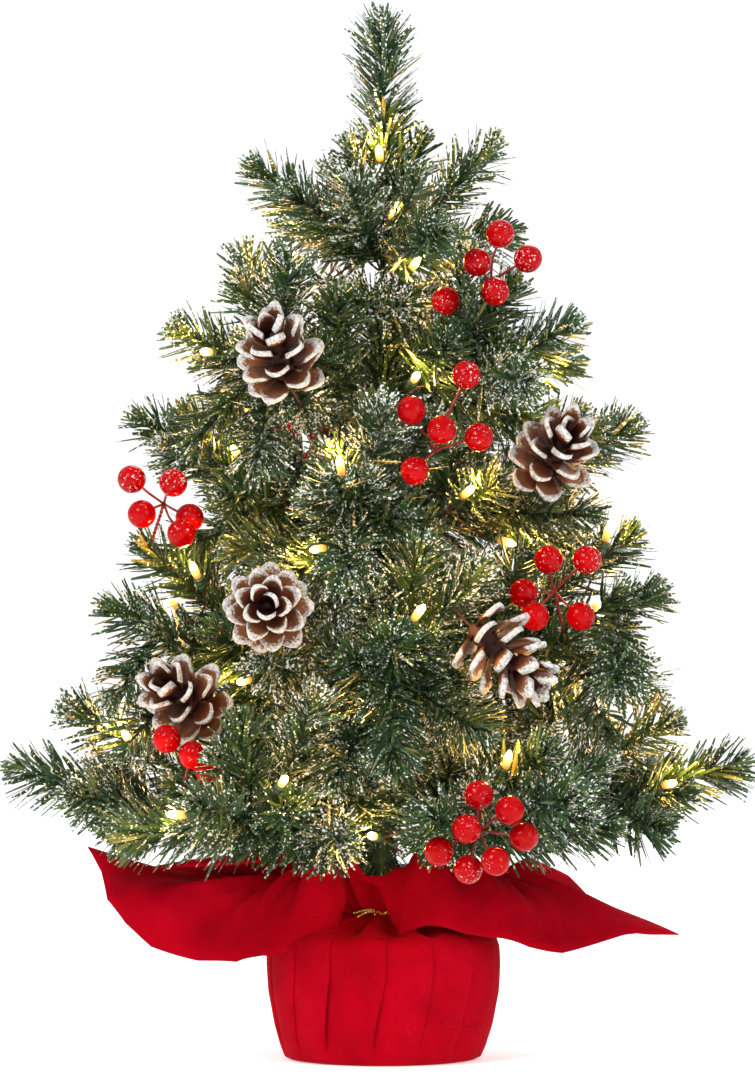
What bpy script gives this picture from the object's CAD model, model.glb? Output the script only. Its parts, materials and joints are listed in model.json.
import json
import math
import bpy
import numpy as np
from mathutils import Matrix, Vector

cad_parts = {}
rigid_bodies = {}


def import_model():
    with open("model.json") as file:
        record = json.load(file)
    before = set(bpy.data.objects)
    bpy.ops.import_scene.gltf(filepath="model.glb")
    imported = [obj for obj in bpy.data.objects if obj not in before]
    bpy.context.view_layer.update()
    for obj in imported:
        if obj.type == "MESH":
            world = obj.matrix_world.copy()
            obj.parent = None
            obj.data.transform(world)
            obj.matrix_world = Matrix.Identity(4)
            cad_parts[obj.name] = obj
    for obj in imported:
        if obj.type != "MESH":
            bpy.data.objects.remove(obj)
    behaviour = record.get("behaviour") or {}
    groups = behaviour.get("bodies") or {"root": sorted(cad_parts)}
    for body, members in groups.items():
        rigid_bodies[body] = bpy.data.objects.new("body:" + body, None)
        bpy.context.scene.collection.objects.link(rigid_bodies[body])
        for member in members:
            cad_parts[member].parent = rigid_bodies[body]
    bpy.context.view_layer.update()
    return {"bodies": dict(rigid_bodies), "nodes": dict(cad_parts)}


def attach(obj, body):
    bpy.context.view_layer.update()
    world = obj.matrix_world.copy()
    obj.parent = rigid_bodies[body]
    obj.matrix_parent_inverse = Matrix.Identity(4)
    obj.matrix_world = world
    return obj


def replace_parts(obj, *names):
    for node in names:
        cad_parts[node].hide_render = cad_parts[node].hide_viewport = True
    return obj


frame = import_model()

MM = 0.001
UP = np.array([0, 0, 1.0])
rng = np.random.default_rng(24)

# ---- layout, in millimetres, as in the CAD model ----
TRUNK_LOW_Z, TRUNK_TOP_Z = 84.0, 443.8
TAPE_LOW_R, TAPE_TOP_R = 8.5, 4.2
ROOT_GAP = 2.0
BEND = 9.0
WIRE_SHORT = 8.0
# name: azimuth, root height, length, pitch, extra pitch of the crown sprig, its share of the length
BOUGHS = {
    "a1": (180, 131, 210, 6, 24, 0.66),
    "a2": (239, 124, 196, 5, 22, 0.58),
    "a3": (301, 128, 196, 5, 22, 0.58),
    "a4": (0, 131, 205, 7, 22, 0.6),
    "a5": (60, 126, 196, 6, 22, 0.6),
    "a6": (120, 129, 196, 6, 22, 0.6),
    "b1": (189, 212, 162, 14, 25, 0.76),
    "b2": (272, 203, 158, 12, 26, 0.62),
    "b3": (350, 214, 166, 16, 24, 0.76),
    "b4": (90, 206, 160, 14, 25, 0.66),
    "c1": (170, 296, 160, 25, 16, 0.6),
    "c2": (258, 287, 132, 18, 26, 0.6),
    "c3": (2, 300, 156, 22, 18, 0.6),
    "c4": (88, 290, 138, 19, 24, 0.6),
    "d1": (198, 378, 128, 16, 34, 0.64),
    "d2": (336, 382, 122, 16, 34, 0.64),
    "d3": (86, 374, 112, 18, 28, 0.6),
}
CROWN_START, CROWN_SWING = 0.26, 8.0
# sprigs of each tier: start share, sideways swing, extra pitch, share of the bough's length
WIDE_SPRIGS = [
    (0.16, 58, 26, 0.38), (0.2, -58, 2, 0.38), (0.38, 46, 10, 0.34),
    (0.44, -46, -5, 0.34), (0.62, 38, 0, 0.26), (0.66, -38, 16, 0.26),
]
SPRIGS = {
    "a": [(0.3, 46, 13, 0.34), (0.34, -46, -1, 0.34), (0.56, -40, 14, 0.3), (0.6, 40, 0, 0.28)],
    "b": WIDE_SPRIGS,
    "c": WIDE_SPRIGS,
    "d": [(0.14, 52, 8, 0.56), (0.18, -52, 28, 0.54), (0.45, 42, 12, 0.34), (0.5, -42, 0, 0.34)],
}
LEADER_Z, LEADER_LENGTH = 446.0, 160.0
LEADER_SPRIGS = [
    (10, 186, 40, 100), (14, 352, 48, 98), (8, 252, 40, 84), (12, 300, 52, 70),
    (10, 84, 42, 86), (16, 130, 50, 74), (40, 215, 62, 52), (44, 20, 62, 52),
]
# short sprigs that fill the room between the tiers, in the same terms
EXTRA_SPRIGS = {
    "a1": [(0.28, -55, 33, 0.43), (0.16, 48, -7, 0.37), (0.54, 53, -15, 0.28)],
    "a2": [(0.58, -72, 59, 0.46), (0.6, 70, -6, 0.45), (0.13, 78, 60, 0.4),
        (0.2, -72, 35, 0.47), (0.28, -57, 25, 0.37), (0.33, -9, 64, 0.39), (0.68, -12, 68, 0.33)],
    "a3": [(0.23, 64, -5, 0.47), (0.52, -51, 2, 0.46), (0.16, 2, 46, 0.31),
        (0.66, 63, 26, 0.33), (0.44, 40, -2, 0.44)],
    "a4": [(0.55, 57, -15, 0.35)],
    "a5": [(0.19, -27, 61, 0.45), (0.35, -33, 40, 0.44), (0.62, 75, 0, 0.42),
        (0.19, 67, 35, 0.44), (0.77, -76, 62, 0.38)],
    "a6": [(0.38, -46, 51, 0.46), (0.12, -61, 46, 0.46), (0.24, 47, -9, 0.41)],
    "b1": [(0.57, 25, -55, 0.53), (0.47, -68, 35, 0.54), (0.78, 41, -58, 0.37),
        (0.23, 65, -6, 0.54), (0.12, -22, 49, 0.57), (0.23, -32, -29, 0.56)],
    "b2": [(0.7, 1, -51, 0.54), (0.19, 77, -29, 0.57), (0.59, -75, 37, 0.54),
        (0.35, -45, 48, 0.56), (0.39, 26, -45, 0.58), (0.61, -53, -39, 0.48),
        (0.5, -26, 51, 0.57)],
    "b3": [(0.64, -60, -60, 0.5), (0.13, -32, -55, 0.5), (0.26, -37, 39, 0.51),
        (0.5, 62, -53, 0.55), (0.81, -80, -47, 0.5), (0.16, 36, -51, 0.52),
        (0.63, 41, -47, 0.44), (0.31, 68, -34, 0.51), (0.24, 63, 5, 0.44)],
    "b4": [(0.64, 27, -55, 0.57), (0.78, -48, -59, 0.53)],
    "c1": [(0.37, 21, -49, 0.46), (0.26, -43, -41, 0.5), (0.31, 68, -17, 0.47)],
    "c2": [(0.41, -57, 31, 0.67), (0.14, 58, -16, 0.67), (0.16, 1, -58, 0.39),
        (0.17, -8, 63, 0.69), (0.48, -28, 34, 0.69), (0.57, -10, -39, 0.63),
        (0.18, -78, -33, 0.57), (0.28, 44, -35, 0.68)],
    "c3": [(0.35, 49, -50, 0.58), (0.29, -40, -23, 0.58), (0.3, 12, -41, 0.55),
        (0.54, 77, -24, 0.58), (0.21, -65, 74, 0.52)],
    "c4": [(0.41, -70, -39, 0.65), (0.35, 54, -15, 0.64), (0.31, -45, 36, 0.65),
        (0.43, -49, -61, 0.57)],
    "d1": [(0.48, 65, -53, 0.67), (0.4, -79, -26, 0.71), (0.35, 75, -31, 0.52),
        (0.44, 76, 36, 0.7), (0.16, 72, 38, 0.57), (0.55, -2, -62, 0.5), (0.46, -71, 50, 0.65)],
    "d2": [(0.21, -5, 57, 0.71), (0.16, -16, -31, 0.65), (0.4, 43, -18, 0.71),
        (0.45, 72, 28, 0.54), (0.38, -55, -8, 0.62)],
    "d3": [(0.48, -53, -50, 0.8), (0.53, 31, -30, 0.73), (0.44, -45, 44, 0.65),
        (0.2, -55, -21, 0.8)],
}
EXTRA_LEADER_SPRIGS = [(11, 27, 17, 89), (18, 220, 27, 80), (11, 293, 13, 91), (20, 132, 14, 88)]
CONE_LENGTH = 50.0
CONES = {
    "pinecone_1": ("d1", (-58, -104, 404), (-0.2, -0.75, 0.6)),
    "pinecone_2": ("b2", (-64, -136, 263), (0.0, -1.00, 0.1)),
    "pinecone_3": ("b2", (66, -134, 238), (0.7, -0.3, -0.62)),
    "pinecone_4": ("a1", (-112, -74, 211), (-0.45, -0.8, 0.35)),
    "pinecone_5": ("c3", (98, -68, 350), (0.3, -0.8, 0.5)),
    "pinecone_6": ("b4", (46, 126, 276), (0.3, 0.9, 0.25)),
}
BERRY_R = 8.2
PICKS = {
    "berry_pick_1": ("d2", (62, -44, 449), [
        (67, -62, 476), (54, -58, 460), (83, -58, 462), (64, -66, 443), (36, -56, 438)]),
    "berry_pick_2": ("c2", (30, -101, 352), [
        (47, -112, 394), (16, -116, 374), (33, -122, 363), (54, -114, 359), (18, -116, 340)]),
    "berry_pick_3": ("b1", (-126, -34, 322), [
        (-144, -46, 336), (-120, -50, 334), (-138, -52, 316), (-111, -40, 314),
        (-115, -60, 305)]),
    "berry_pick_4": ("b3", (98, -70, 272), [
        (116, -84, 290), (112, -88, 258), (86, -94, 258), (80, -80, 271), (94, -86, 290)]),
    "berry_pick_5": ("a3", (54, -152, 140), [
        (53, -166, 160), (70, -174, 152), (46, -178, 142), (78, -166, 137), (47, -166, 119),
        (62, -176, 124), (31, -168, 129)]),
    "berry_pick_6": ("a1", (-110, -80, 176), [
        (-122, -100, 189), (-107, -105, 180), (-99, -92, 172)]),
    "berry_pick_7": ("c4", (-46, 92, 352), [
        (-58, 104, 364), (-38, 108, 366), (-62, 106, 345), (-44, 112, 346), (-28, 103, 351)]),
}
BULB_LENGTH, HOLDER_LENGTH, BULB_LEAN = 12.0, 9.0, 0.9
RUN_START, RUN_DROP, LIGHT_REACH, STRAND_GAP = 8.0, 10.0, 8.0, 1.1
BULBS = {
    "leader": [(6, 20, 490), (-50, -20, 464), (-2, -16, 525), (18, -18, 460)],
    "a1": [(-110, 34, 152), (-147, -27, 187)],
    "a2": [(-55, -166, 168), (-115, -138, 148)],
    "a3": [(-6, -96, 134), (70, -120, 178)],
    "a4": [(112, 34, 152), (124, -22, 206), (166, -16, 160)],
    "a5": [(76, 100, 156), (106, 148, 170)],
    "a6": [(-76, 100, 159), (-106, 148, 173)],
    "b1": [(-80, -30, 220), (-122, 6, 264), (-108, -46, 284)],
    "b2": [(-9, -70, 200), (20, -150, 261)],
    "b3": [(124, 8, 262), (130, -28, 306)],
    "b4": [(8, 98, 244), (-6, 152, 268)],
    "c1": [(-85, -10, 352), (-112, 41, 356)],
    "c2": [(-37, -74, 296), (-24, -101, 343)],
    "c3": [(49, -39, 329), (72, -14, 300), (116, 20, 356)],
    "c4": [(14, 82, 334), (8, 126, 364)],
    "d1": [(-60, 6, 416), (-101, -50, 409)],
    "d2": [(19, -38, 395), (88, -34, 395)],
}


def body_of(key):
    return key if key == "leader" else "bough_" + key


def trunk_r(z):
    share = (z - TRUNK_LOW_Z) / (TRUNK_TOP_Z - TRUNK_LOW_Z)
    return TAPE_LOW_R + (TAPE_TOP_R - TAPE_LOW_R) * share


def direction(azimuth, pitch):
    a, p = math.radians(azimuth), math.radians(pitch)
    return np.array([math.cos(p) * math.cos(a), math.cos(p) * math.sin(a), math.sin(p)])


def unit(v):
    v = np.asarray(v, float)
    return v / np.linalg.norm(v)


def clamped(share):
    return max(0.0, min(1.0, share))


def square_to(axis, along, limit):
    """Two directions square to an axis, from the world axis along, or the next if it's near."""
    helper = np.zeros(3)
    helper[along if abs(axis[along]) < limit else (along + 1) % 3] = 1.0
    u = unit(np.cross(axis, helper))
    return u, np.cross(axis, u)


def lengths_along(points):
    """The length of each leg of a broken line, and the distance to each of its points."""
    runs = np.linalg.norm(np.diff(points, axis=0), axis=1)
    return runs, np.concatenate([[0], np.cumsum(runs)])


def interpolated(where, at, points):
    """Points at some places along a line whose own points are at other places."""
    return np.stack([np.interp(where, at, points[:, k]) for k in range(3)], 1)


def shortened(start, end, cut):
    return end - unit(end - start) * cut


def brush_lines(key):
    """The main wire's points, and a (start, end) for each sprig, in millimetres."""
    if key == "leader":
        root = UP * LEADER_Z
        sprigs = []
        for height, azimuth, pitch, length in LEADER_SPRIGS + EXTRA_LEADER_SPRIGS:
            start = root + UP * height
            sprigs.append((start, start + direction(azimuth, pitch) * length))
        return [root, root + UP * LEADER_LENGTH], sprigs
    azimuth, z, length, pitch, crown_pitch, crown_share = BOUGHS[key]
    root = UP * z + direction(azimuth, 0) * (trunk_r(z) + ROOT_GAP)
    bend = root + direction(azimuth, pitch) * (length / 2)
    tip = bend + direction(azimuth, pitch + BEND) * (length / 2)
    hand = 1 if int(key[-1]) % 2 else -1
    sprigs = []
    crown = (CROWN_START, CROWN_SWING, crown_pitch, crown_share)
    for share, swing, extra, size in [crown] + SPRIGS[key[-2]] + EXTRA_SPRIGS.get(key, []):
        if share < 0.5:
            start = root + (bend - root) * (share / 0.5)
        else:
            start = bend + (tip - bend) * ((share - 0.5) / 0.5)
        turn = direction(azimuth + hand * swing, pitch + extra)
        sprigs.append((start, start + turn * (size * length)))
    return [root, bend, tip], sprigs


# ---- mesh helpers ----
# radius and offset of a strand, length of one twist, and step along the line
MAIN_STRANDS = (0.65, 0.6, 8.0, 2.0)
SPRIG_STRANDS = (0.5, 0.45, 7.0, 2.0)
PICK_STRANDS = (0.6, 0.55, 5.0, 1.0)
LIGHT_STRANDS = (0.5, 0.48, 11.0, 1.8)
TIE_STRANDS = (0.6, 0.56, 4.4, 0.8)
TIE_END_STRANDS = (0.6, 0.56, 3.8, 0.6)
THIN_SIDES, SMOOTHINGS = 5, 6


def join(parts):
    """Joins (vertices, polygon arrays, attributes) into one."""
    verts, polys, attributes = [], [], {}
    offset = 0
    for v, ps, attrs in parts:
        verts.append(v)
        polys += [p + offset for p in ps]
        for key, values in attrs.items():
            attributes.setdefault(key, []).append(values)
        offset += len(v)
    joined = {key: np.concatenate(values) for key, values in attributes.items()}
    return np.concatenate(verts), polys, joined


def placed(name, data, place=(0, 0, 0)):
    """A new object in the scene."""
    obj = bpy.data.objects.new(name, data)
    obj.location = place
    bpy.context.scene.collection.objects.link(obj)
    return obj


def piece(name, part, material, body, smooth=True):
    """Makes a mesh object from a part in millimetres, and lets it ride on a body."""
    verts, polys, attributes = part
    mesh = bpy.data.meshes.new(name)
    loops = np.concatenate([p.ravel() for p in polys]).astype(np.int32)
    counts = np.concatenate([np.full(len(p), p.shape[1]) for p in polys])
    starts = np.concatenate([[0], np.cumsum(counts)[:-1]]).astype(np.int32)
    mesh.vertices.add(len(verts))
    mesh.vertices.foreach_set("co", (verts * MM).astype(np.float32).ravel())
    mesh.loops.add(len(loops))
    mesh.loops.foreach_set("vertex_index", loops)
    mesh.polygons.add(len(counts))
    mesh.polygons.foreach_set("loop_start", starts)
    mesh.polygons.foreach_set("use_smooth", np.full(len(counts), smooth))
    for key, values in attributes.items():
        layer = mesh.attributes.new(key, "FLOAT", "POINT")
        layer.data.foreach_set("value", values.astype(np.float32))
    mesh.update(calc_edges=True)
    mesh.validate()
    mesh.materials.append(MATERIALS[material])
    obj = placed(name, mesh)
    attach(obj, body)
    return obj


def frames_along(points):
    """Two normals at each point of a line, turning as little as possible."""
    tangents = np.gradient(points, axis=0)
    tangents /= np.linalg.norm(tangents, axis=1)[:, None]
    normal, _ = square_to(tangents[0], 2, 0.9)
    normals = []
    for tangent in tangents:
        normal = unit(normal - tangent * normal.dot(tangent))
        normals.append(normal)
    normals = np.array(normals)
    return normals, np.cross(tangents, normals)


def tube(points, radius, sides=6):
    """A closed tube round a line."""
    u, v = frames_along(points)
    turns = np.arange(sides) * 2 * math.pi / sides
    ring = np.cos(turns)[None, :, None] * u[:, None] + np.sin(turns)[None, :, None] * v[:, None]
    verts = (points[:, None] + ring * radius).reshape(-1, 3)
    return verts, ring_faces(len(points), sides), {}


def ring_faces(rings, sides):
    """Quads between rings of vertices, and a cap at each end."""
    i = np.arange(rings - 1)[:, None] * sides
    j = np.arange(sides)[None]
    n = (j + 1) % sides
    quads = np.stack([i + j, i + n, i + sides + n, i + sides + j], -1).reshape(-1, 4)
    first = np.arange(sides)[None, ::-1]
    last = (rings - 1) * sides + np.arange(sides)[None]
    return [quads, first, last]


def smoothed(points, step):
    """Evenly spaced points along a broken line, smoothed near its corners."""
    points = np.asarray(points, float)
    _, along = lengths_along(points)
    where = np.linspace(0, along[-1], max(3, int(along[-1] / step) + 1))
    line = interpolated(where, along, points)
    for _ in range(SMOOTHINGS):
        line[1:-1] = (line[:-2] + 2 * line[1:-1] + line[2:]) / 4
    return line


def twisted(points, strand_r, offset, pitch, step):
    """Two strands twisted round a line."""
    line = smoothed(points, step)
    u, v = frames_along(line)
    turn = np.arange(len(line)) * step / pitch * 2 * math.pi
    parts = []
    for a in (turn, turn + math.pi):
        path = line + (np.cos(a)[:, None] * u + np.sin(a)[:, None] * v) * offset
        parts.append(tube(path, strand_r, THIN_SIDES))
    return join(parts)


def turned(outline, sides, origin, axis, height=False):
    """Turns (radius, height) points round an axis, and keeps the height share if asked."""
    u, v = square_to(axis, 0, 0.8)
    turns = np.arange(sides) * 2 * math.pi / sides
    ring = np.cos(turns)[:, None] * u + np.sin(turns)[:, None] * v
    outline = np.asarray(outline, float)
    rows = [origin + axis * h + ring * max(r, 0.02) for r, h in outline]
    attributes = {}
    if height:
        low, high = outline[:, 1].min(), outline[:, 1].max()
        attributes["height"] = np.repeat((outline[:, 1] - low) / (high - low), sides)
    return np.concatenate(rows), ring_faces(len(outline), sides), attributes


# ---- materials ----
MATERIALS = {}


def material(name, **sockets):
    """A node material and its Principled shader; sockets are set on the shader itself."""
    made = MATERIALS[name] = bpy.data.materials.new(name)
    made.use_nodes = True
    shader = made.node_tree.nodes["Principled BSDF"]
    for key, value in sockets.items():
        shader.inputs[key.replace("_", " ")].default_value = value
    return made.node_tree, shader


def add(tree, kind, inputs=(), **settings):
    node = tree.nodes.new("ShaderNode" + kind)
    for key, value in settings.items():
        setattr(node, key, value)
    for key, value in dict(inputs).items():
        if isinstance(value, bpy.types.NodeSocket):
            tree.links.new(value, node.inputs[key])
        else:
            node.inputs[key].default_value = value
    return node


def noise(tree, scale, detail=3.0, rough=0.55):
    where = add(tree, "TexCoord").outputs["Object"]
    return add(tree, "TexNoise", {"Vector": where, "Scale": scale, "Detail": detail,
                                  "Roughness": rough}).outputs["Fac"]


def ramp(fac, stops):
    node = add(fac.id_data, "ValToRGB", {"Fac": fac})
    elements = node.color_ramp.elements
    while len(elements) < len(stops):
        elements.new(0.5)
    for element, (place, colour) in zip(elements, stops):
        element.position = place
        element.color = (*colour, 1.0)
    return node.outputs["Color"]


def mixed(fac, a, b):
    node = add(fac.id_data, "Mix", data_type="RGBA")
    for key, value in (("Factor", fac), ("A", a), ("B", b)):
        socket = [s for s in node.inputs if s.name == key and s.enabled][0]
        if isinstance(value, tuple):
            socket.default_value = (*value, 1.0)
        else:
            fac.id_data.links.new(value, socket)
    return [s for s in node.outputs if s.name == "Result" and s.enabled][0]


def plus(a, b):
    return add(a.id_data, "Math", {0: a, 1: b}, operation="ADD").outputs[0]


def times(a, b):
    return add(a.id_data, "Math", {0: a, 1: b}, operation="MULTIPLY").outputs[0]


def grey(level):
    return (level, level, level)


BLACK, WHITE = grey(0), grey(1)


def feed(shader, name, value):
    shader.id_data.links.new(value, shader.inputs[name])


def attribute(tree, name):
    return add(tree, "Attribute", attribute_name=name).outputs["Fac"]


def bumped(shader, height, strength, distance):
    inputs = {"Height": height, "Strength": strength, "Distance": distance}
    bump = add(shader.id_data, "Bump", inputs)
    feed(shader, "Normal", bump.outputs["Normal"])


def needle_material():
    """Shiny green film, cut in strips, each its own green, with flecks of white flock."""
    tree, shader = material("needle_film", Roughness=0.4)
    greens = ramp(attribute(tree, "tone"), [
        (0, (0.008, 0.024, 0.009)), (0.35, (0.024, 0.066, 0.018)), (0.62, (0.058, 0.122, 0.026)),
        (0.85, (0.13, 0.18, 0.030)), (1, (0.30, 0.25, 0.04))])
    green = mixed(times(noise(tree, 420, 2), 0.4), greens, (0.05, 0.11, 0.035))
    snow = plus(noise(tree, 560, 0.5), times(attribute(tree, "snow"), 0.20))
    mask = ramp(snow, [(0.695, BLACK), (0.715, WHITE)])
    feed(shader, "Base Color", mixed(mask, green, (0.93, 0.95, 0.93)))
    feed(shader, "Roughness", ramp(mask, [(0, grey(0.38)), (1, grey(0.85))]))
    bumped(shader, mask, 0.6, 0.0004)


def plain_material(name, colour, second, scale, roughness, metallic=0, bump=0.15):
    """Two shades mottled by noise, with a fine bump."""
    tree, shader = material(name, Roughness=roughness, Metallic=metallic)
    fac = noise(tree, scale, 4)
    feed(shader, "Base Color", mixed(fac, colour, second))
    bumped(shader, noise(tree, scale * 4), bump, 0.0003)


def cone_material():
    """Red-brown scales, darker inside, with a thick white painted rim."""
    tree, shader = material("cone_scales", Roughness=0.42)
    grain = noise(tree, 260, 4)
    depth = plus(attribute(tree, "depth"), times(grain, 0.35))
    brown = ramp(depth, [
        (0.15, (0.006, 0.002, 0.002)), (0.5, (0.032, 0.007, 0.004)), (0.85, (0.12, 0.032, 0.011)),
        (1, (0.24, 0.085, 0.027))])
    specks = times(noise(tree, 560, 2), 1.5)
    edge = plus(attribute(tree, "rim"), specks)
    mask = ramp(times(edge, 0.5), [(0.60, BLACK), (0.72, WHITE)])
    paint = ramp(noise(tree, 520, 4, 0.7), [
        (0.3, (0.20, 0.17, 0.15)), (0.6, (0.76, 0.75, 0.72))])
    feed(shader, "Base Color", mixed(mask, brown, paint))
    feed(shader, "Roughness", ramp(mask, [(0, grey(0.35)), (1, grey(0.8))]))
    bumped(shader, plus(mask, grain), 0.5, 0.0006)


def berry_material():
    """Glossy red lacquer with a darker calyx end and a little flock."""
    tree, shader = material("berry_lacquer", Roughness=0.12, Specular_IOR_Level=0.12)
    red = ramp(attribute(tree, "height"), [
        (0, (0.06, 0, 0.001)), (0.12, (0.38, 0, 0.002)), (1, (0.51, 0, 0.002))])
    red = mixed(noise(tree, 90), red, (0.30, 0, 0.001))
    fleck = plus(noise(tree, 620, 3, 0.7), times(noise(tree, 16), 0.5))
    mask = ramp(fleck, [(0.91, BLACK), (0.95, WHITE)])
    feed(shader, "Base Color", mixed(mask, red, (0.85, 0.85, 0.85)))
    bumped(shader, mask, 0.4, 0.0004)


def bulb_material():
    """A lit warm-white bulb: brightest at its tip."""
    tree, shader = material("bulb_glow", Roughness=0.2)
    height = attribute(tree, "height")
    colour = ramp(height, [
        (0, (0.9, 0.35, 0.05)), (0.45, (1, 0.60, 0.16)), (0.8, (1, 0.86, 0.42))])
    feed(shader, "Base Color", colour)
    feed(shader, "Emission Color", colour)
    glow = ramp(height, [(0, grey(0.03)), (0.5, grey(0.30)), (0.85, WHITE)])
    feed(shader, "Emission Strength", times(glow, 4.5))


def cloth_material():
    """Brushed red nonwoven: soft sheen, mottled nap and thin pale creases."""
    tree, shader = material("red_nonwoven", Roughness=0.9, Sheen_Weight=0.05, Sheen_Roughness=0.4,
                            Sheen_Tint=(1, 0.1, 0.12, 1), Specular_IOR_Level=0.04)
    nap = noise(tree, 38, 5, 0.6)
    red = ramp(nap, [
        (0.25, (0.25, 0, 0.005)), (0.5, (0.37, 0, 0.008)), (0.78, (0.47, 0.001, 0.012))])
    fibre = noise(tree, 900, 3, 0.7)
    red = mixed(times(fibre, 0.35), red, (0.34, 0, 0.008))
    where = add(tree, "TexCoord").outputs["Object"]
    warp = add(tree, "TexNoise", {"Vector": where, "Scale": 14, "Detail": 3.0})
    bent = add(tree, "VectorMath", {0: where, 1: warp.outputs["Color"]}, operation="ADD")
    cracks = add(tree, "TexVoronoi", {"Vector": bent.outputs[0], "Scale": 16.0},
                 feature="DISTANCE_TO_EDGE").outputs["Distance"]
    line = ramp(cracks, [(0, WHITE), (0.018, BLACK)])
    some = ramp(noise(tree, 22), [(0.55, BLACK), (0.68, WHITE)])
    crease = times(line, some)
    feed(shader, "Base Color", mixed(times(crease, 0.22), red, (0.72, 0.04, 0.06)))
    bumped(shader, plus(times(fibre, 0.5), crease), 0.35, 0.0004)


# name: colour, second colour, noise scale, roughness, metallic and bump
PLAIN = {
    "brush_wire": ((0.02, 0.035, 0.018), (0.05, 0.06, 0.03), 300, 0.45, 0.6),
    "cone_core": ((0.03, 0.010, 0.006), (0.07, 0.02, 0.01), 300, 0.7),
    "berry_stem": ((0.16, 0.006, 0.010), (0.28, 0.012, 0.012), 260, 0.45),
    "bulb_holder": ((0.015, 0.05, 0.018), (0.03, 0.08, 0.03), 200, 0.35),
    "light_wire": ((0.10, 0.055, 0.018), (0.18, 0.10, 0.03), 240, 0.4, 0.3),
    "gold_wire": ((0.85, 0.50, 0.12), (0.95, 0.65, 0.22), 200, 0.22, 1),
    "trunk_tape": ((0.012, 0.035, 0.012), (0.03, 0.06, 0.02), 120, 0.7, 0, 0.5),
    "trunk_rod": (grey(0.25), (0.35, 0.34, 0.33), 180, 0.35, 0.9),
    "pot_plastic": ((0.20, 0.07, 0.03), (0.26, 0.10, 0.05), 60, 0.5),
    "cement": ((0.42, 0.41, 0.38), (0.62, 0.60, 0.56), 90, 0.9, 0, 0.6),
    "case_plastic": ((0.012, 0.05, 0.02), (0.018, 0.06, 0.026), 140, 0.42),
    "switch_plastic": ((0.015, 0.015, 0.016), grey(0.03), 150, 0.4),
    "cell_jacket": ((0.05, 0.05, 0.06), (0.09, 0.09, 0.10), 70, 0.3),
    "contact_metal": (grey(0.62), (0.75, 0.74, 0.72), 200, 0.25, 1),
}
for name, row in PLAIN.items():
    plain_material(name, *row)
needle_material()
cone_material()
berry_material()
bulb_material()
cloth_material()


# ---- what the needles keep clear of ----
HALF_HIDDEN_CONES = ("pinecone_4", "pinecone_5")
CONE_SPACE_R, HIDDEN_SPACE_R, CONE_VIEW_R, CONE_VIEW = 20.0, 15.0, 21.0, 40
BERRY_VIEW, BERRY_SPACE = 14, 0.6
BULB_SPACE_R, BULB_VIEW_R, BULB_VIEW, BULB_FRONT_Y = 4.2, 5.6, 48, 50


def capsules():
    """(start, end, radius) of the space that cones, berries and bulbs keep free of needles."""
    front = np.array([0, -1.0, 0])
    spaces = []
    for name, (_, middle, axis) in CONES.items():
        middle, axis = np.array(middle, float), unit(axis)
        hidden = name in HALF_HIDDEN_CONES
        radius = HIDDEN_SPACE_R if hidden else CONE_SPACE_R
        spaces.append((middle - axis * 18, middle + axis * 24, radius))
        if middle[1] < 0 and not hidden:
            spaces.append((middle, middle + front * CONE_VIEW, CONE_VIEW_R))
    for _, _, places in PICKS.values():
        for place in np.array(places, float):
            view = front * (BERRY_VIEW if place[1] < 0 else -BERRY_VIEW)
            spaces.append((place, place + view, BERRY_R + BERRY_SPACE))
    for places in BULBS.values():
        for place in np.array(places, float):
            spaces.append((place, place + unit([place[0], place[1], 0]) * 6, BULB_SPACE_R))
            if place[1] < BULB_FRONT_Y:
                spaces.append((place, place + front * BULB_VIEW, BULB_VIEW_R))
    return spaces


SPACES = capsules()


def clear_of_spaces(points, margin=0.0):
    """Whether each of the points lies outside every kept-free space."""
    clear = np.ones(len(points), bool)
    for start, end, radius in SPACES:
        run = end - start
        share = np.clip((points - start) @ run / run.dot(run), 0, 1)
        far = np.linalg.norm(points - (start + share[:, None] * run), axis=1)
        clear &= far > radius + margin
    return clear


# ---- needles ----
NEEDLES_PER_MM = 2.6
LEADER_DENSITY = 1.6
NEEDLE_LENGTH, NEEDLE_WIDTH, NEEDLE_THICK = 26.0, 2.4, 0.35
NEEDLE_VERTS = 9
MAIN_BARE, SPRIG_BARE = 22.0, 12.0
# a brush stops short of its line's end, and closes over the last TIP_ZONE with a tuft
NEEDLE_STOP, TIP_ZONE, TUFT, TUFT_RUN = 6.0, 13.0, 34, 5.0
SWEEP, SWEEP_SPREAD, TIP_SWEEP = 52, 8, (8, 42)
TIP_SHORTER, SHORT_SHARE = 0.50, 0.12
CURL, SAG, STRAY = 0.07, 0.02, 0.6
TONE, TONE_SPREAD, OLD_SHARE = 0.33, 0.17, 0.05
FLOCK_SPREAD = 0.28
# flock at the root, middle and tip of a needle
FLOCK_SHARES = np.repeat([0, 0.5, 1.0], 3)
FLOCK_KINDS, FLOCK_CHANCES = [0.16, 0.5, 0.9], [0.4, 0.35, 0.25]
WINDING_HALF, WINDING_R, WINDING_WIRE_R, WINDING_PITCH = 4, 1.45, 0.45, 3.2


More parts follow.
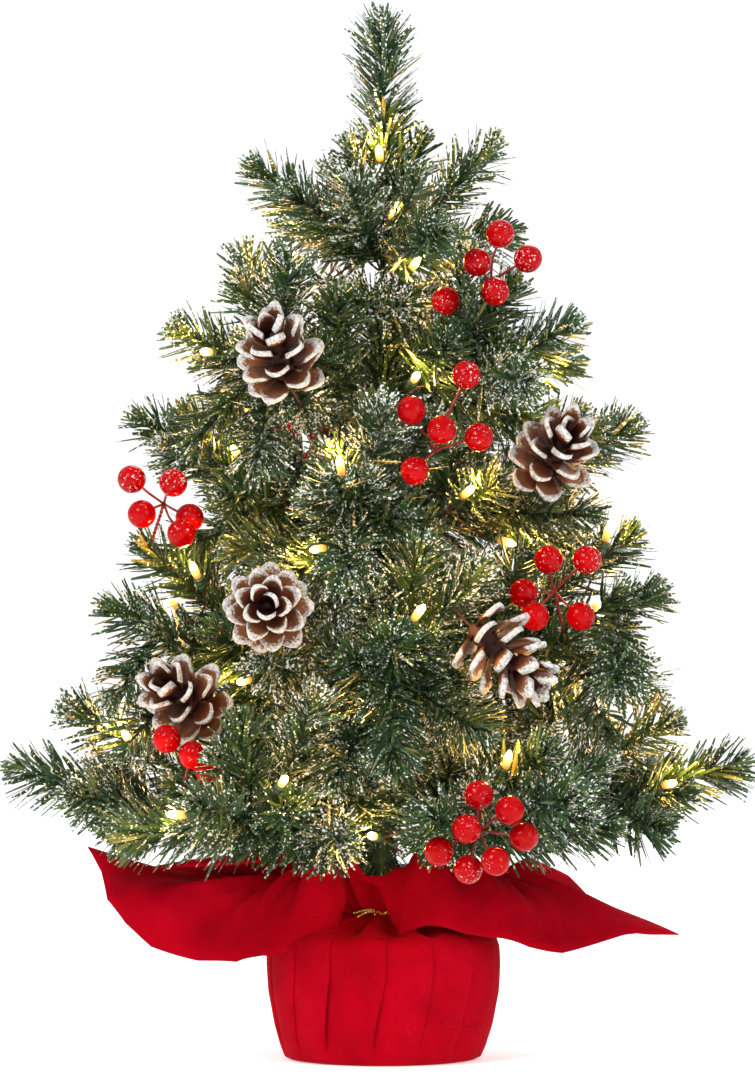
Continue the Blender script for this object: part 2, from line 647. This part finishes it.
def needles_on(points, bare, flock, hue, density=1.0):
    """Needles of one brush: strips of film that sweep forward, shorter and closer at its tip."""
    points = np.asarray(points, float)
    runs, along = lengths_along(points)
    reach = along[-1] - NEEDLE_STOP
    count = int((reach - bare) * NEEDLES_PER_MM * density)
    where = rng.uniform(bare, reach, count)
    where = np.concatenate([where, reach - rng.uniform(0, TUFT_RUN, TUFT)])
    root = interpolated(where, along, points)
    leg = np.clip(np.searchsorted(along, where, side="right") - 1, 0, len(runs) - 1)
    tangent = (np.diff(points, axis=0) / runs[:, None])[leg]
    column = (len(where), 1)
    helper = np.where(np.abs(tangent[:, 2:]) < 0.9, [[0.0, 0, 1.0]], [[1.0, 0, 0]])
    u = np.cross(tangent, helper)
    u /= np.linalg.norm(u, axis=1)[:, None]
    v = np.cross(tangent, u)
    turn = rng.uniform(0, 2 * math.pi, column)
    out = np.cos(turn) * u + np.sin(turn) * v
    near_tip = np.clip((where - (reach - TIP_ZONE)) / TIP_ZONE, 0, 1)[:, None]
    near_tip[count:] = 1
    sweep = rng.normal(SWEEP, SWEEP_SPREAD, column) * (1 - near_tip)
    angle = np.radians(sweep + rng.uniform(*TIP_SWEEP, column) * near_tip)
    length = NEEDLE_LENGTH * rng.uniform(0.82, 1.05, column) * (1 - TIP_SHORTER * near_tip)
    short = rng.uniform(size=column) < SHORT_SHARE
    length = np.where(short, length * rng.uniform(0.5, 0.8, column), length)
    aim = np.cos(angle) * tangent + np.sin(angle) * out
    curl = tangent * (length * CURL) - UP * (length * SAG)
    tip = root + aim * length + curl + rng.normal(0, STRAY, root.shape)
    middle = root + aim * (length * 0.52)
    keep = clear_of_spaces(tip) & clear_of_spaces(middle) & clear_of_spaces(root + aim * 6, -1.0)
    keep &= tip[:, 2] > 2.0
    near_tip, n = near_tip[keep, 0], int(keep.sum())
    verts, polys = strips(*(a[keep] for a in (root, middle, tip, aim, out)))
    tone = rng.normal(TONE + hue, TONE_SPREAD, n) + 0.45 * near_tip * rng.uniform(0, 1, n)
    tone = np.clip(tone, 0, 1)
    tone = np.where(rng.uniform(size=n) < OLD_SHARE, rng.uniform(0.75, 1, n), tone)
    amount = np.clip(rng.normal(flock, FLOCK_SPREAD, n) + 0.25 * near_tip, 0, 1)
    snow = (amount[:, None] * FLOCK_SHARES).ravel()
    return verts, polys, {"tone": np.repeat(tone, NEEDLE_VERTS), "snow": snow}


def strips(root, middle, tip, aim, out):
    """A closed strip of film for each needle, its flat side turned by a random amount."""
    n = len(root)
    across = np.cross(aim, out)
    across /= np.linalg.norm(across, axis=1)[:, None] + 1e-9
    deep = np.cross(aim, across)
    spin = rng.uniform(-0.9, 0.9, n)
    side = np.cos(spin)[:, None] * across + np.sin(spin)[:, None] * deep
    back = np.cross(aim, side) * NEEDLE_THICK
    half = side * (NEEDLE_WIDTH / 2 * rng.uniform(0.8, 1.15, n)[:, None])
    rows = [root - half * 0.8, root + half * 0.8, root + back,
            middle - half, middle + half, middle + back,
            tip - half * 0.55, tip + half * 0.55 + aim * 0.8, tip + back * 0.6]
    base = np.arange(n)[:, None] * NEEDLE_VERTS
    sides = ([0, 1, 4, 3], [1, 2, 5, 4], [2, 0, 3, 5], [3, 4, 7, 6], [4, 5, 8, 7], [5, 3, 6, 8])
    quads = np.concatenate([base + q for q in sides])
    tris = np.concatenate([base + t for t in ([6, 7, 8], [0, 2, 1])])
    return np.stack(rows, 1).reshape(-1, 3), [quads, tris]


def dress_bough(key):
    """Needles and twisted wires of one bough."""
    name = body_of(key)
    main, sprigs = brush_lines(key)
    density = LEADER_DENSITY if name == "leader" else 1.0
    flock, hue = rng.uniform(0.25, 0.6), rng.uniform(-0.08, 0.06)
    brushes = [needles_on(main, MAIN_BARE, flock, hue, density)]
    for start, end in sprigs:
        flock = rng.choice(FLOCK_KINDS, p=FLOCK_CHANCES) + rng.uniform(-0.1, 0.1)
        brushes.append(needles_on([start, end], SPRIG_BARE, flock, rng.uniform(-0.1, 0.14)))
    needles = piece(name + "_needles", join(brushes), "needle_film", name,
                    smooth=False)
    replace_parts(needles, name)
    ends = main[:-1] + [shortened(main[-2], main[-1], WIRE_SHORT)]
    wires = [twisted(ends, *MAIN_STRANDS)]
    wires += [twisted([start, shortened(start, end, WIRE_SHORT)], *SPRIG_STRANDS)
              for start, end in sprigs]
    # each sprig's wire is wound round the main one where it starts
    leg = unit(main[1] - main[0]) * WINDING_HALF
    wires += [winding(start - leg, start + leg, WINDING_R, WINDING_WIRE_R, WINDING_PITCH)
              for start, _ in sprigs]
    piece(name + "_wire", join(wires), "brush_wire", name)


def winding(start, end, radius, wire_r, pitch):
    """A wire wound round a line."""
    run = end - start
    axis = unit(run)
    u, v = square_to(axis, 2, 0.9)
    turns = np.linalg.norm(run) / pitch
    share = np.linspace(0, 1, int(turns * 12) + 2)
    a = share * turns * 2 * math.pi
    path = start + share[:, None] * run + (np.cos(a)[:, None] * u + np.sin(a)[:, None] * v) * radius
    return tube(path, wire_r, THIN_SIDES)


for key in list(BOUGHS) + ["leader"]:
    dress_bough(key)


# lowest and highest needles of the trunk's own brushes, and of one that hangs down over the tie
TRUNK_BRUSHES = [(116, 196), (214, 284), (300, 366), (384, 440)]
TRUNK_BARE, TRUNK_LEAN, TRUNK_FLOCK = 14.0, 3.0, 0.3
HANG_FROM, HANG_TO, HANG_BARE = 154.0, 99.0, 10.0
TWIG_BARE = 5.0
# short twigs near the trunk: height, azimuth, pitch, length
TRUNK_TWIGS = [
    (436, 245, 6, 42), (436, 285, 0, 42), (436, 30, 4, 42), (436, 140, 6, 42),
]


def dress_trunk():
    """Needles that stand out all round the taped trunk, from the wires bound into it."""
    brushes, wires = [], []
    for low, high in TRUNK_BRUSHES:
        for lean in (-TRUNK_LEAN, TRUNK_LEAN):
            ends = [(lean, 0, low - TRUNK_BARE), (-lean, 0, high)]
            brushes.append(needles_on(ends, TRUNK_BARE, TRUNK_FLOCK, 0.0))
    down = [(0, 0, HANG_FROM), (0, 0, HANG_TO)]
    brushes.append(needles_on(down, HANG_BARE, TRUNK_FLOCK, 0.0))
    for height, azimuth, pitch, length in TRUNK_TWIGS:
        root = UP * height + direction(azimuth, 0) * TAPE_TOP_R
        end = root + direction(azimuth, pitch) * length
        brushes.append(needles_on([root, end], TWIG_BARE, rng.uniform(0.3, 0.9), 0.0))
        wires.append(twisted([root, shortened(root, end, WIRE_SHORT)], *SPRIG_STRANDS))
    piece("trunk_needles", join(brushes), "needle_film", "base", smooth=False)
    piece("trunk_twigs", join(wires), "brush_wire", "base")


dress_trunk()


# ---- pine cones ----
SCALES, SCALE_REACH, SCALE_WIDTH = 25, 28.0, 16.5
SCALE_SIZES = (5.0, 24.0)
SCALE_SINK, SCALE_CURL, SCALE_THICK, RIM_THICK = 1.3, 2.4, 0.7, 2.0
GOLDEN_ANGLE = math.radians(137.508)
CORE = [(1.5, 1.0), (4.5, 4.0), (6.0, 10.0), (5.6, 24.0), (4.0, 38.0), (1.2, 46.0)]
CORE_R = 4.2


def cone_scale(base, axis, outward, lift, size, width, deep):
    """One woody scale: a spoon from the core out to a thick, rolled rim."""
    rows, columns = 5, 7
    across = np.cross(axis, outward)
    lean = math.cos(lift) * outward + math.sin(lift) * axis
    up = np.cross(across, lean) * -1
    verts, rim, depth = [], [], []
    for layer in (1, -1):
        for r in range(rows):
            t = r / (rows - 1)
            for c in range(columns):
                s = c / (columns - 1) * 2 - 1
                half = width / 2 * (0.42 + 0.58 * math.sin(min(1.0, t * 1.25) * math.pi / 2))
                reach = size * t * (1 - 0.32 * (abs(s) ** 2.2) * t)
                sink = SCALE_SINK * (1 - s * s) * math.sin(t * math.pi * 0.75)
                rise = SCALE_CURL * t ** 3 - sink + (SCALE_THICK + RIM_THICK * t ** 3) * layer / 2
                verts.append(base + lean * reach + across * (s * half) + up * rise)
                edge = max((t - 0.62) / 0.38, (abs(s) - 0.80) / 0.36 * (t > 0.6))
                rim.append(clamped(edge))
                depth.append(deep * 0.3 + t)
    grid = np.arange(rows * columns).reshape(rows, columns)
    top = np.stack([grid[:-1, :-1], grid[:-1, 1:], grid[1:, 1:], grid[1:, :-1]], -1).reshape(-1, 4)
    edge = np.concatenate([grid[0], grid[1:, -1], grid[-1, -2::-1], grid[-2:0:-1, 0]])
    after = np.roll(edge, -1)
    side = np.stack([after, edge, edge + grid.size, after + grid.size], 1)
    attributes = {"rim": np.array(rim), "depth": np.array(depth)}
    return np.array(verts), [top, top[:, ::-1] + grid.size, side], attributes


def dress_cone(name, key, middle, tip):
    """Scales in a spiral up the core, widest a third of the way up, and the wire that holds it."""
    axis = unit(tip)
    base = np.array(middle, float) - axis * (CONE_LENGTH / 2)
    u, v = square_to(axis, 2, 0.8)
    first = rng.uniform(0, 2 * math.pi)
    parts = []
    for k in range(SCALES):
        t = k / (SCALES - 1)
        a = first + k * GOLDEN_ANGLE
        outward = math.cos(a) * u + math.sin(a) * v
        height = CONE_LENGTH * (0.06 + 0.80 * t ** 0.92)
        full = SCALE_REACH * (math.sin(math.pi * (0.26 + 0.68 * t)) ** 0.8)
        core = CORE_R * (1 - 0.6 * t)
        lift = math.radians(6 + 66 * t ** 1.5)
        size = float(np.clip((full - core) / max(0.35, math.cos(lift)), *SCALE_SIZES))
        width = SCALE_WIDTH * (1 - 0.38 * t)
        parts.append(cone_scale(base + axis * height + outward * core, axis, outward, lift, size,
                                width, 1 - t))
    obj = piece(name + "_scales", join(parts), "cone_scales", body_of(key))
    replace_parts(obj, name)
    parts = [turned(CORE, 12, base, axis)]
    wire = base + axis * 3
    parts.append(tube(smoothed([wire, base - axis * 2, nearest_wire(key, base)], 1.5), 0.8))
    piece(name + "_core", join(parts), "cone_core", body_of(key))


def nearest(points, target):
    return min(points, key=lambda point: np.linalg.norm(point - target))


def nearest_on(line, target):
    """The point of a broken line nearest to a target."""
    points = []
    for start, end in zip(line, line[1:]):
        run = end - start
        points.append(start + run * clamped((target - start).dot(run) / run.dot(run)))
    return nearest(points, target)


def nearest_wire(key, target):
    main, sprigs = brush_lines(key)
    lines = [main] + [[start, shortened(start, end, WIRE_SHORT)] for start, end in sprigs]
    return nearest([nearest_on(line, target) for line in lines], target)


for cone, row in CONES.items():
    dress_cone(cone, *row)


# ---- berries ----
BERRY_RINGS, BERRY_SIDES = 14, 22
# how far the last two rings sink, at the small dimple
BERRY_DIMPLE = {BERRY_RINGS - 1: 0.1, BERRY_RINGS: 1.1}
STEM_R, STEM_BOW, HUB_LAP = 0.75, 0.06, 1.5


def berry_outline():
    angles = [math.pi * k / BERRY_RINGS for k in range(BERRY_RINGS + 1)]
    return [(BERRY_R * math.sin(a), -BERRY_R * math.cos(a) - BERRY_DIMPLE.get(k, 0))
            for k, a in enumerate(angles)]


def dress_pick(name, key, hub, places):
    """Lacquered balls with a small dimple at the far end, on bent wire stems from one point."""
    hub = np.array(hub, float)
    balls, stems = [], []
    for place in np.array(places, float):
        away = unit(place - hub)
        balls.append(turned(berry_outline(), BERRY_SIDES, place, away, True))
        side = unit(np.cross(away, UP)) * np.linalg.norm(place - hub) * STEM_BOW
        path = [hub, (hub + place) / 2 + side, place - away * (BERRY_R * 0.9)]
        stems.append(tube(smoothed(path, 1.5), STEM_R))
    held = nearest_wire(key, hub)
    stems.append(twisted([hub - unit(held - hub) * HUB_LAP, held], *PICK_STRANDS))
    obj = piece(name + "_berries", join(balls), "berry_lacquer", body_of(key))
    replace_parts(obj, name)
    piece(name + "_stems", join(stems), "berry_stem", body_of(key))


for pick, row in PICKS.items():
    dress_pick(pick, *row)


# ---- mini lights ----
GLOW_WATTS, GLOW_COLOUR, GLOW_R, GLOW_AHEAD = 0.125, (1.0, 0.50, 0.10), 0.004, 9
BULB_SIDES = 14
BULB_OUTLINE = [
    (1.4, 0), (2.1, 0.8), (2.4, 3), (2.4, 7.2), (2.05, 9.3), (1.3, 10.9), (0.5, 11.8),
    (0.02, BULB_LENGTH),
]
# a ribbed collar: three ribs above a narrow tail
HOLDER_OUTLINE = [
    (1.4, 0), (2.2, 0.2), (2.5, 2.2), (3, 2.7), (3, 4), (2.8, 4.2), (2.8, 5), (3, 5.2), (3, 6.4),
    (2.8, 6.6), (2.8, 7.4), (3, 7.6), (3, HOLDER_LENGTH), (1.5, HOLDER_LENGTH),
]


def bulb_axis(points, place):
    away = unit(place - nearest_on(points, place))
    along = unit(points[-1] - points[0])
    return unit(away + along * BULB_LEAN)


def light_up(name, body, place):
    """The light that one bulb throws on the needles; it rides with the bulb's body."""
    glow = bpy.data.lights.new(name, "POINT")
    glow.energy = GLOW_WATTS
    glow.color = GLOW_COLOUR
    glow.shadow_soft_size = GLOW_R
    lamp = placed(name, glow, place * MM)
    bpy.context.view_layer.update()
    lamp.parent = frame["bodies"][body]
    lamp.matrix_parent_inverse = frame["bodies"][body].matrix_world.inverted()


def dress_lights(short):
    """Bulbs, ribbed holders, and the two-strand wire that joins them."""
    name = body_of(short)
    points, _ = brush_lines(short)
    along = unit(points[1] - points[0])
    drop = np.array([0, 1.0, 0]) if name == "leader" else -UP
    start = points[0] + along * RUN_START + drop * RUN_DROP
    leave = along
    bulbs, holders, wires = [], [], []
    for k, place in enumerate(np.array(BULBS[short], float)):
        axis = bulb_axis(points, place)
        base = place - axis * (BULB_LENGTH / 2)
        tail = base - axis * HOLDER_LENGTH
        bulbs.append(turned(BULB_OUTLINE, BULB_SIDES, base, axis, True))
        holders.append(turned(HOLDER_OUTLINE, BULB_SIDES, tail, axis))
        side = unit(np.cross(np.cross(axis, start - tail), axis)) * STRAND_GAP
        reach = min(LIGHT_REACH, np.linalg.norm(tail - start) * 0.3)
        path = [start, start + leave * reach, tail + side - axis * reach, tail + side + axis * 1.0]
        wires.append(twisted(path, *LIGHT_STRANDS))
        start, leave = tail - side, -axis
        light_up(name + "_glow_%d" % k, name, place + axis * GLOW_AHEAD)
    obj = piece("bulbs_" + short, join(bulbs), "bulb_glow", name)
    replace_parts(obj, "lights_" + short)
    piece("holders_" + short, join(holders), "bulb_holder", name)
    piece("light_wire_" + short, join(wires), "light_wire", name)


for short in BULBS:
    dress_lights(short)


# ---- trunk: wound tape ----
TAPE_PITCH, TAPE_SIDES, TAPE_LAP = 9.0, 20, 0.7


def wound_tape():
    """Paper tape wound up the trunk, each turn lapping the last."""
    heights = np.arange(TRUNK_LOW_Z, TRUNK_TOP_Z, 1.0)
    a = np.arange(TAPE_SIDES) * 2 * math.pi / TAPE_SIDES
    rows = []
    for z in heights:
        lap = ((z / TAPE_PITCH) - a / (2 * math.pi)) % 1.0
        r = trunk_r(z) + 0.1 - TAPE_LAP * lap
        rows.append(np.stack([np.cos(a) * r, np.sin(a) * r, np.full(TAPE_SIDES, z)], 1))
    return np.concatenate(rows), ring_faces(len(heights), TAPE_SIDES), {}


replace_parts(piece("trunk_tape_wound", wound_tape(), "trunk_tape", "base"),
            "trunk_tape")


# ---- cloth: one square, folded up round the pot, tied, and opened out above ----
CLOTH_SIDE, CLOTH_THICK = 460.0, 0.8
CORNER_AZIMUTH = 190.0
NECK_RHO = 180.0
CLOTH_COLUMNS, FLAP_ROWS = 720, 30
GATHERS = 37
GATHER_FROM, GATHER_DEEP, FLAP_GATHER_DEEP = 130, 2.9, 5.6
# distance from the middle of the flat cloth, radius and height when it is wrapped
BAG = [
    (2, 2, 0.5), (30, 30, 0.5), (50, 52.5, 0.5), (55, 56.6, 2), (62, 59.2, 8), (76, 63, 20),
    (98, 66.8, 40), (112, 67.5, 55), (122, 67.2, 65), (127, 65.4, 70.8), (132, 61.2, 73.8),
    (150, 42, 77.2), (166, 25, 80.8), (173, 17.5, 82.4), (177, 14, 83.6), (180, 12.6, 86),
]
# how deep the pleats are, by distance from the middle of the flat cloth
PLEAT_RHO = [52, 62, 76, 98, 112, 122, 132, 150, 172, 180]
PLEAT_DEEP = [0.0, 2.4, 4.0, 5.2, 4.7, 3.4, 2.8, 4.2, 3.4, 3.0]
# azimuths of the pleats on the wrapped bag, and how far each laps the next, in degrees
PLEATS = [
    (4, 13), (27, 12), (52, 14), (74, 12), (98, 14), (122, 12), (146, 14), (170, 13), (194, 12),
    (216, 12), (236, 15), (264, 17), (290, 12), (313, 15), (338, 12),
]
# flat azimuth, then crest and hem of the cloth above the tie; the outline is closed
FLAPS = [
    (190, -88, 10, 101, -172, 20, 123), (192, -86, 6, 100, -164, 10, 108),
    (197, -82, -4, 99, -160, -8, 91), (203, -76, -10, 99, -149, -16, 78),
    (209, -70, -14, 99, -134, -24, 67), (217, -62, -18, 102, -107, -31, 59.5),
    (225, -55, -20, 105, -84, -37, 57.5), (235, -47, -22, 109, -70, -40, 64),
    (245, -40, -24, 113, -55, -42, 66), (255, -33, -25, 118, -40, -42, 69),
    (263, -28, -25, 122, -26, -38, 77), (267, -23, -21, 124, -20, -30, 96),
    (271, -25, -16, 120, -42, -18, 119), (276, -38, -9, 117, -92, -8, 112),
    (280, -52, -3, 114, -136, 4, 109), (284, -34, 0, 110, -84, 16, 104),
    (288, -8, -14, 106, -26, -10, 108), (291, 0, -18, 108, -2, -24, 102),
    (294, 8, -20, 115, 4, -36, 86), (299, 14, -22, 118, 9, -50, 75),
    (308, 26, -23, 115, 24, -52, 78), (317, 35, -22, 113, 41, -53, 78),
    (325, 42, -19, 111, 54, -51, 77), (333, 52, -15, 110, 67, -47, 73),
    (342, 62, -10, 108, 84, -46, 68), (351, 72, -3, 105, 104, -43, 66),
    (360, 84, 5, 101, 140, -12, 71), (370, 96, 12, 91, 173, 15, 70),
    (373, 94, 17, 92, 157, 24, 71), (378, 86, 22, 95, 143, 34, 74),
    (385, 78, 25, 99, 127, 46, 86), (393, 68, 28, 102, 110, 54, 102),
    (403, 55, 30, 104, 86, 58, 115), (415, 42, 30, 92, 72, 62, 104),
    (425, 34, 40, 84, 60, 84, 86), (440, 22, 50, 78, 36, 112, 66),
    (460, 5, 55, 77, 10, 138, 60), (480, -22, 50, 78, -30, 110, 70),
    (495, -38, 40, 85, -54, 82, 90), (505, -48, 32, 96, -74, 64, 105),
    (515, -58, 28, 104, -94, 56, 107), (530, -74, 22, 104, -124, 44, 105),
    (541, -84, 15, 102, -153, 30, 106), (548, -87, 12, 101, -164, 24, 112),
    (550, -88, 10, 101, -172, 20, 123),
]


def pleated(flat):
    """Azimuth and sunk depth (0 to 1) on the bag of each flat azimuth: knife pleats lap over."""
    knots = []
    following = PLEATS[1:] + [(PLEATS[0][0] + 360, PLEATS[0][1])]
    for (middle, lap), (after, after_lap) in zip(PLEATS, following):
        half, behind, ahead = lap / 2, middle - lap / 2, after + after_lap / 2
        run = ahead - behind
        walk = half + run + after_lap / 2
        deep = min(1.1, 0.45 + (lap - 12) * 0.23)
        path = [(0, middle, deep / 2), (half, behind, deep),
                (half + run * 0.5, behind + run * 0.5, deep / 4),
                (half + run * 0.95, behind + run * 0.95, 0), (half + run, ahead, 0.15)]
        knots += [(middle + (after - middle) * along / walk, azimuth, depth)
                  for along, azimuth, depth in path]
    first, azimuth, depth = knots[0]
    places, azimuths, depths = np.array(knots + [(first + 360, azimuth + 360, depth)]).T
    turn = (flat - first) % 360.0 + first
    return np.interp(turn, places, azimuths) + flat - turn, np.interp(turn, places, depths)


def cyclic(flat, first):
    """A closed curve through three columns of the flap table."""
    table = np.array(FLAPS, float)
    at = table[:, 0]
    turn = (flat - at[0]) % 360.0 + at[0]
    return interpolated(turn, at, table[:, first:first + 3])


def normal_of(hem, neck):
    """The direction across each radial line of the cloth above the tie, in its upright plane."""
    run = hem - neck
    flatwise = np.stack([-run[:, 1], run[:, 0], 0 * run[:, 0]], 1)
    across = np.cross(run, flatwise)
    return across / (np.linalg.norm(across, axis=1)[:, None] + 1e-9)


def cloth_grid():
    """Points of the wrapped cloth's outer side: a row for each distance from its middle."""
    columns = CLOTH_COLUMNS
    flat = CORNER_AZIMUTH + np.arange(columns) * 360.0 / columns
    azimuth, depth = pleated(flat)
    drift = azimuth - flat
    for _ in range(3):
        drift = (np.roll(drift, 1) + 2 * drift + np.roll(drift, -1)) / 4
        depth = (np.roll(depth, 1) + 2 * depth + np.roll(depth, -1)) / 4
    bag = np.array(BAG, float)
    fine = np.sin(np.radians(flat * GATHERS + 60 * np.sin(np.radians(flat * 3))))
    rhos = np.concatenate([[2, 30, 48], np.arange(52, NECK_RHO, 3.2), [NECK_RHO]])
    rows = []
    for rho in rhos:
        r = np.interp(rho, bag[:, 0], bag[:, 1])
        z = np.interp(rho, bag[:, 0], bag[:, 2])
        share = clamped((rho - 50) / 60.0)
        a = np.radians(flat + drift * share)
        sunk = depth * np.interp(rho, PLEAT_RHO, PLEAT_DEEP)
        wave = 0.7 * share * np.sin(np.radians(flat * 5 + rho * 1.5))
        side_on = clamped((rho - 120) / 12.0)
        radius = r - sunk * (1 - 0.8 * side_on) + wave * (1 - side_on)
        height = z - sunk * 1.3 * side_on * (1 if rho < 176 else 0.2)
        if rho > GATHER_FROM:
            grown = math.sin(min(1.0, (rho - GATHER_FROM) / 44) * math.pi / 1.25)
            height = height + fine * GATHER_DEEP * grown
        if rho < 52:
            radius, height = np.full(columns, r), np.full(columns, z)
        rows.append(np.stack([np.cos(a) * radius, np.sin(a) * radius, height + 0 * a], 1))
    neck = rows[-1]
    crest, hem = cyclic(flat, 1), cyclic(flat, 4)
    broad = np.sin(np.radians(flat * 13 + 30)) + 0.5 * np.sin(np.radians(flat * 7 + 80))
    bend = 2 * crest - (neck + hem) / 2
    for t in np.linspace(0, 1, FLAP_ROWS)[1:]:
        point = neck * (1 - t) ** 2 + 2 * bend * t * (1 - t) + hem * t * t
        rise = math.sin(min(1.0, t * 7) * math.pi / 2)
        deep = broad * (5.0 * (1 - t) + 1.8) + fine * FLAP_GATHER_DEEP * (1 - t) ** 1.4
        rows.append(point + normal_of(hem, neck) * (rise * deep)[:, None])
    return np.array(rows)


def cloth_part():
    """The cloth with its thickness, closed at the hem and at the middle."""
    grid = cloth_grid()
    rows, columns = grid.shape[:2]
    down = np.gradient(grid, axis=0)
    round_ = np.roll(grid, -1, axis=1) - np.roll(grid, 1, axis=1)
    normal = np.cross(round_, down)
    normal /= np.linalg.norm(normal, axis=2)[:, :, None] + 1e-9
    inner = grid + normal * CLOTH_THICK
    verts = np.concatenate([grid.reshape(-1, 3), inner.reshape(-1, 3)])
    outer = ring_faces(rows, columns)[0]
    half = rows * columns
    last = half - columns
    k = np.arange(columns)
    m = (k + 1) % columns
    hem = np.stack([last + k, last + m, last + m + half, last + k + half], 1)
    middle = np.stack([m, k, k + half, m + half], 1)
    return verts, [outer, outer[:, ::-1] + half, hem, middle], {}


cloth = piece("cloth", cloth_part(), "red_nonwoven", "base")
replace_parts(cloth, "base_cloth")


# ---- gold tie: two turns of twisted wire round the neck, its two ends out in front ----
TIE_R, TIE_LOW_Z, TIE_HIGH_Z = 14.6, 84.6, 87.0
TIE_START_AZIMUTH, TIE_POINTS = 250, 100
TIE_ENDS = [
    [(-4.5, -14.6, 85.4), (-8, -17.5, 85.8), (-12, -19.5, 84.6), (-15, -19.6, 83.0)],
    [(-4.5, -14.4, 86.6), (-9, -16.6, 87.0), (-13, -17.8, 86.6), (-17, -17.4, 85.2)],
]


def tie_part():
    a = np.radians(np.linspace(TIE_START_AZIMUTH, TIE_START_AZIMUTH + 720, TIE_POINTS))
    z = np.linspace(TIE_LOW_Z, TIE_HIGH_Z, TIE_POINTS)
    ring = np.stack([np.cos(a) * TIE_R, np.sin(a) * TIE_R, z], 1)
    ends = [twisted(end, *TIE_END_STRANDS) for end in TIE_ENDS]
    return join([twisted(ring, *TIE_STRANDS)] + ends)


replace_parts(piece("gold_tie_wire", tie_part(), "gold_wire", "base"), "gold_tie")


# ---- CAD nodes that stay, in better materials ----
KEPT = {
    "pot_shell": "pot_plastic", "cement_weight": "cement", "trunk_rod": "trunk_rod",
    "battery_case": "case_plastic", "battery_cover": "case_plastic",
    "switch_knob": "switch_plastic", "aa_cells": "cell_jacket",
    "battery_contacts": "contact_metal", "light_lead": "light_wire",
}
for node, key in KEPT.items():
    obj = frame["nodes"][node]
    obj.data.materials.clear()
    obj.data.materials.append(MATERIALS[key])


# ---- floor, light and camera ----
FLOOR_SIZE, FLOOR_GLOW = 24, 0.42
# the sky's light, and how much brighter the camera itself sees it
SKY, EXTRA_SKY = 0.7, 0.4
TREE_MIDDLE = (0, 0, 0.3)
tree, shader = material("floor", Roughness=0.9, Emission_Color=(1, 1, 1, 1),
                        Emission_Strength=FLOOR_GLOW)
feed(shader, "Base Color", ramp(noise(tree, 1.5), [(0.0, grey(0.93)), (1.0, grey(0.95))]))
bpy.ops.mesh.primitive_plane_add(size=FLOOR_SIZE, location=(0, 0, -0.0002))
floor = bpy.context.object
floor.name = "floor"
floor.data.materials.append(MATERIALS["floor"])


def area(name, place, size, watts):
    """A soft white light that faces the tree."""
    light = bpy.data.lights.new(name, "AREA")
    light.size = size
    light.energy = watts
    obj = placed(name, light, place)
    obj.rotation_euler = (Vector(TREE_MIDDLE) - obj.location).to_track_quat("-Z", "Y").to_euler()


area("key", (-1.5, -2.0, 2.0), 1.0, 52)
area("fill", (2.0, -1.8, 1.0), 1.5, 22)
area("rim", (0.4, 2.0, 2.2), 1.4, 30)

world = bpy.data.worlds.new("studio")
bpy.context.scene.world = world
world.use_nodes = True
sky = world.node_tree.nodes["Background"]
sky.inputs["Color"].default_value = (1, 1, 1, 1)
seen = add(world.node_tree, "LightPath").outputs["Is Camera Ray"]
brightness = plus(times(seen, EXTRA_SKY), SKY)
feed(sky, "Strength", brightness)
bpy.context.scene.view_settings.view_transform = "Standard"

CAMERA_FAR, VIEW_HEIGHT = 3.4, 0.628
CAMERA_Z, CAMERA_X = 0.3012, -0.003
SENSOR = 36.0
eye = bpy.data.cameras.new("camera")
eye.sensor_width = SENSOR
eye.lens = SENSOR * CAMERA_FAR / VIEW_HEIGHT
camera = placed("camera", eye, (CAMERA_X, -CAMERA_FAR, CAMERA_Z))
camera.rotation_euler = (math.radians(90), 0, 0)
bpy.context.scene.camera = camera
